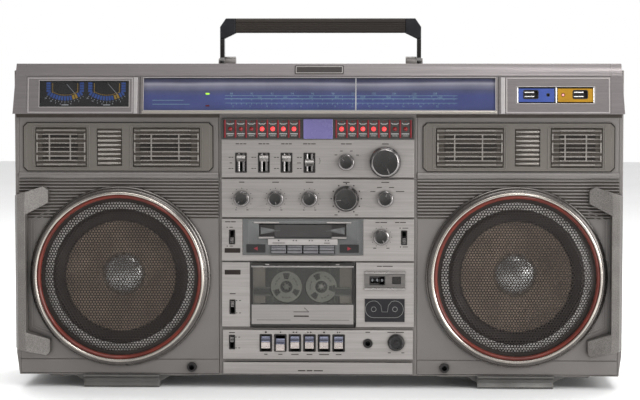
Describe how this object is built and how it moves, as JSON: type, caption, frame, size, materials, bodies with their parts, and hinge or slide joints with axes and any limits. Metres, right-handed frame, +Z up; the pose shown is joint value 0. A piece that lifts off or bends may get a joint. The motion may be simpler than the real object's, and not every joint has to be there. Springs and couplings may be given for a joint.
{
  "type": "boombox",
  "caption": "Large portable stereo cassette player: tuner visor, woofers and louvred mid/treble panels each side, two tape decks, centre controls, a folding handle.",
  "frame": {"origin": "on the floor, under the middle of the object's box", "axes": "+Z up, the front faces -Y, +X to the right seen from the front"},
  "size_m": [0.736, 0.2, 0.4507],
  "materials": {
    "cabinet_silver": "metallic silver paint",
    "clear_window": "clear",
    "scale_print": "printed",
    "lamp_black": "gloss",
    "panel_aluminium": "brushed",
    "black_trim": "satin",
    "bezel_grey": "satin",
    "grille_dark": "matt",
    "driver_metal": "painted",
    "louvre_beige": "satin",
    "guard_silver": "speckled",
    "mechanism_metal": "plain",
    "board": "plain",
    "handle_dark": "ribbed",
    "pointer_white": "gloss",
    "knob_dark": "satin",
    "bright_metal": "bright",
    "bright_key": "plated",
    "door_dark": "gloss",
    "cassette_grey": "satin",
    "reel_white": "satin"
  },
  "bodies": {
    "cabinet": {"front_cabinet": "cabinet_silver", "rear_cabinet": "cabinet_silver", "speaker_baffles": "cabinet_silver", "tuner_visor": "cabinet_silver", "visor_windows": "clear_window", "dial_and_meter_scales": "scale_print", "led_display": "lamp_black", "control_panels": "panel_aluminium", "tape2_bay": "black_trim", "woofer_bezels": "bezel_grey", "woofer_grilles": "grille_dark", "speaker_drivers": "driver_metal", "louvre_panels": "louvre_beige", "side_guards": "guard_silver", "feet": "black_trim", "jack_sockets": "black_trim", "tape_mechanisms": "mechanism_metal", "electronics": "board"},
    "handle": {"handle_arms": "panel_aluminium", "handle_grip": "handle_dark"},
    "dial_pointer": {"dial_pointer": "pointer_white"},
    "band_select_knob": {"band_select_knob": "knob_dark"},
    "tuning_knob": {"tuning_knob": "knob_dark"},
    "bass_knob": {"bass_knob": "knob_dark"},
    "treble_knob": {"treble_knob": "knob_dark"},
    "balance_knob": {"balance_knob": "knob_dark"},
    "volume_knob": {"volume_knob": "knob_dark"},
    "function_knob": {"function_knob": "knob_dark"},
    "record_level_knob": {"record_level_knob": "knob_dark"},
    "monitor_level_knob": {"monitor_level_knob": "knob_dark"},
    "tape2_type_switch": {"tape2_type_switch": "bright_metal"},
    "tape1_type_switch": {"tape1_type_switch": "bright_metal"},
    "loudness_switch": {"loudness_switch": "bright_metal"},
    "stereo_mode_switch": {"stereo_mode_switch": "bright_metal"},
    "dubbing_switch": {"dubbing_switch": "black_trim"},
    "record_mode_switch": {"record_mode_switch": "black_trim"},
    "noise_reduction_switch": {"noise_reduction_switch": "black_trim"},
    "microphone_mix_switch": {"microphone_mix_switch": "black_trim"},
    "security_switch": {"security_switch": "black_trim"},
    "power_switch": {"power_switch": "black_trim"},
    "tape2_flap": {"tape2_flap": "black_trim"},
    "tape2_stop_key": {"tape2_stop_key": "bright_key"},
    "tape2_rewind_key": {"tape2_rewind_key": "bright_key"},
    "tape2_forward_key": {"tape2_forward_key": "bright_key"},
    "tape2_program_key": {"tape2_program_key": "bright_key"},
    "tape1_door": {"tape1_door": "door_dark", "cassette_shell": "cassette_grey"},
    "supply_reel": {"supply_reel": "reel_white"},
    "take_up_reel": {"take_up_reel": "reel_white"},
    "counter_reset_button": {"counter_reset_button": "black_trim"},
    "record_key": {"record_key": "bright_key"},
    "play_key": {"play_key": "bright_key"},
    "rewind_key": {"rewind_key": "bright_key"},
    "fast_forward_key": {"fast_forward_key": "bright_key"},
    "stop_eject_key": {"stop_eject_key": "bright_key"},
    "pause_key": {"pause_key": "bright_key"},
    "spare_tape_drawer": {"spare_tape_drawer": "panel_aluminium"},
    "antenna_mast": {"antenna_mast": "bright_metal"},
    "antenna_rod": {"antenna_rod": "bright_metal"},
    "battery_cover": {"battery_cover": "cabinet_silver"}
  },
  "joints": [
    {"name": "handle_fold", "type": "hinge", "parent": "cabinet", "child": "handle", "pos_m": [0, 0.024, 0.395], "axis": [-1, 0, 0], "range_deg": [0, 90]},
    {"name": "band_select_turn", "type": "hinge", "parent": "cabinet", "child": "band_select_knob", "pos_m": [0.0345, -0.09, 0.2751], "axis": [0, 1, 0], "range_deg": [-60, 60]},
    {"name": "tuning_turn", "type": "hinge", "parent": "cabinet", "child": "tuning_knob", "pos_m": [0.0816, -0.09, 0.2753], "axis": [0, 1, 0], "range_deg": [-1090, 706]},
    {"name": "bass_turn", "type": "hinge", "parent": "cabinet", "child": "bass_knob", "pos_m": [-0.0922, -0.09, 0.2309], "axis": [0, 1, 0], "range_deg": [-150, 150]},
    {"name": "treble_turn", "type": "hinge", "parent": "cabinet", "child": "treble_knob", "pos_m": [-0.0511, -0.09, 0.2309], "axis": [0, 1, 0], "range_deg": [-150, 150]},
    {"name": "balance_turn", "type": "hinge", "parent": "cabinet", "child": "balance_knob", "pos_m": [-0.01, -0.09, 0.2309], "axis": [0, 1, 0], "range_deg": [-150, 150]},
    {"name": "volume_turn", "type": "hinge", "parent": "cabinet", "child": "volume_knob", "pos_m": [0.0345, -0.09, 0.2311], "axis": [0, 1, 0], "range_deg": [-150, 150]},
    {"name": "function_turn", "type": "hinge", "parent": "cabinet", "child": "function_knob", "pos_m": [0.0816, -0.09, 0.2308], "axis": [0, 1, 0], "range_deg": [-60, 60]},
    {"name": "record_level_turn", "type": "hinge", "parent": "cabinet", "child": "record_level_knob", "pos_m": [0.077, -0.09, 0.1846], "axis": [0, 1, 0], "range_deg": [-150, 150]},
    {"name": "monitor_level_turn", "type": "hinge", "parent": "cabinet", "child": "monitor_level_knob", "pos_m": [0.0951, -0.09, 0.0564], "axis": [0, 1, 0], "range_deg": [-150, 150]},
    {"name": "pointer_travel", "type": "slide", "parent": "cabinet", "child": "dial_pointer", "axis": [1, 0, 0], "range_m": [-0.2455, 0.159]},
    {"name": "tape2_type_slide", "type": "slide", "parent": "cabinet", "child": "tape2_type_switch", "axis": [0, 0, 1], "range_m": [-0.011, 0]},
    {"name": "tape1_type_slide", "type": "slide", "parent": "cabinet", "child": "tape1_type_switch", "axis": [0, 0, 1], "range_m": [-0.011, 0]},
    {"name": "loudness_slide", "type": "slide", "parent": "cabinet", "child": "loudness_switch", "axis": [0, 0, 1], "range_m": [-0.011, 0]},
    {"name": "stereo_mode_slide", "type": "slide", "parent": "cabinet", "child": "stereo_mode_switch", "axis": [0, 0, 1], "range_m": [-0.0055, 0.0055]},
    {"name": "dubbing_slide", "type": "slide", "parent": "cabinet", "child": "dubbing_switch", "axis": [0, 0, 1], "range_m": [0, 0.007]},
    {"name": "record_mode_slide", "type": "slide", "parent": "cabinet", "child": "record_mode_switch", "axis": [0, 0, 1], "range_m": [0, 0.007]},
    {"name": "noise_reduction_slide", "type": "slide", "parent": "cabinet", "child": "noise_reduction_switch", "axis": [0, 0, 1], "range_m": [-0.007, 0]},
    {"name": "microphone_mix_slide", "type": "slide", "parent": "cabinet", "child": "microphone_mix_switch", "axis": [0, 0, 1], "range_m": [-0.007, 0]},
    {"name": "security_slide", "type": "slide", "parent": "cabinet", "child": "security_switch", "axis": [1, 0, 0], "range_m": [0, 0.004]},
    {"name": "power_slide", "type": "slide", "parent": "cabinet", "child": "power_switch", "axis": [1, 0, 0], "range_m": [0, 0.004]},
    {"name": "tape2_flap_swing", "type": "hinge", "parent": "cabinet", "child": "tape2_flap", "pos_m": [0, -0.07955, 0.1988], "axis": [1, 0, 0], "range_deg": [0, 75], "stiffness_Nm_per_rad": 0.002, "springref_deg": -17.19},
    {"name": "tape2_stop_press", "type": "slide", "parent": "cabinet", "child": "tape2_stop_key", "axis": [0, 1, 0], "range_m": [0, 0.003], "stiffness_N_per_m": 150, "springref_m": -0.002},
    {"name": "tape2_rewind_press", "type": "slide", "parent": "cabinet", "child": "tape2_rewind_key", "axis": [0, 1, 0], "range_m": [0, 0.003], "stiffness_N_per_m": 150, "springref_m": -0.002},
    {"name": "tape2_forward_press", "type": "slide", "parent": "cabinet", "child": "tape2_forward_key", "axis": [0, 1, 0], "range_m": [0, 0.003], "stiffness_N_per_m": 150, "springref_m": -0.002},
    {"name": "tape2_program_press", "type": "slide", "parent": "cabinet", "child": "tape2_program_key", "axis": [0, 1, 0], "range_m": [0, 0.003], "stiffness_N_per_m": 150, "springref_m": -0.002},
    {"name": "tape1_door_open", "type": "hinge", "parent": "cabinet", "child": "tape1_door", "pos_m": [0, -0.0815, 0.077], "axis": [1, 0, 0], "range_deg": [0, 35]},
    {"name": "supply_reel_turn", "type": "hinge", "parent": "tape1_door", "child": "supply_reel", "pos_m": [-0.03835, -0.078, 0.1235], "axis": [0, 1, 0], "continuous": true},
    {"name": "take_up_reel_turn", "type": "hinge", "parent": "tape1_door", "child": "take_up_reel", "pos_m": [0.00415, -0.078, 0.1235], "axis": [0, 1, 0], "continuous": true},
    {"name": "counter_reset_press", "type": "slide", "parent": "cabinet", "child": "counter_reset_button", "axis": [0, 1, 0], "range_m": [0, 0.0022], "stiffness_N_per_m": 150, "springref_m": -0.002},
    {"name": "record_press", "type": "hinge", "parent": "cabinet", "child": "record_key", "pos_m": [-0.0632, -0.04, 0.057], "axis": [1, 0, 0], "range_deg": [0, 3.4], "stiffness_Nm_per_rad": 0.5, "springref_deg": -3.44},
    {"name": "play_press", "type": "hinge", "parent": "cabinet", "child": "play_key", "pos_m": [-0.0455, -0.04, 0.057], "axis": [1, 0, 0], "range_deg": [-3.4, 0]},
    {"name": "rewind_press", "type": "hinge", "parent": "cabinet", "child": "rewind_key", "pos_m": [-0.0278, -0.04, 0.057], "axis": [1, 0, 0], "range_deg": [0, 3.4], "stiffness_Nm_per_rad": 0.5, "springref_deg": -3.44},
    {"name": "fast_forward_press", "type": "hinge", "parent": "cabinet", "child": "fast_forward_key", "pos_m": [-0.0101, -0.04, 0.057], "axis": [1, 0, 0], "range_deg": [0, 3.4], "stiffness_Nm_per_rad": 0.5, "springref_deg": -3.44},
    {"name": "stop_eject_press", "type": "hinge", "parent": "cabinet", "child": "stop_eject_key", "pos_m": [0.0076, -0.04, 0.057], "axis": [1, 0, 0], "range_deg": [0, 3.4], "stiffness_Nm_per_rad": 0.5, "springref_deg": -3.44},
    {"name": "pause_press", "type": "hinge", "parent": "cabinet", "child": "pause_key", "pos_m": [0.0253, -0.04, 0.057], "axis": [1, 0, 0], "range_deg": [0, 3.4], "stiffness_Nm_per_rad": 0.5, "springref_deg": -3.44},
    {"name": "drawer_slide", "type": "slide", "parent": "cabinet", "child": "spare_tape_drawer", "axis": [0, -1, 0], "range_m": [0, 0.07]},
    {"name": "antenna_swing", "type": "hinge", "parent": "cabinet", "child": "antenna_mast", "pos_m": [0.33, 0.091, 0.378], "axis": [0, 1, 0], "range_deg": [0, 135]},
    {"name": "antenna_extend", "type": "slide", "parent": "antenna_mast", "child": "antenna_rod", "axis": [-1, 0, 0], "range_m": [0, 0.3]},
    {"name": "battery_cover_pull", "type": "slide", "parent": "cabinet", "child": "battery_cover", "axis": [0, 1, 0], "range_m": [0, 0.03]}
  ],
  "couplings": [
    {"joint": "pointer_travel", "follows": "tuning_turn", "m_per_rad": 0.0129},
    {"joint": "take_up_reel_turn", "follows": "supply_reel_turn", "ratio": 1}
  ]
}
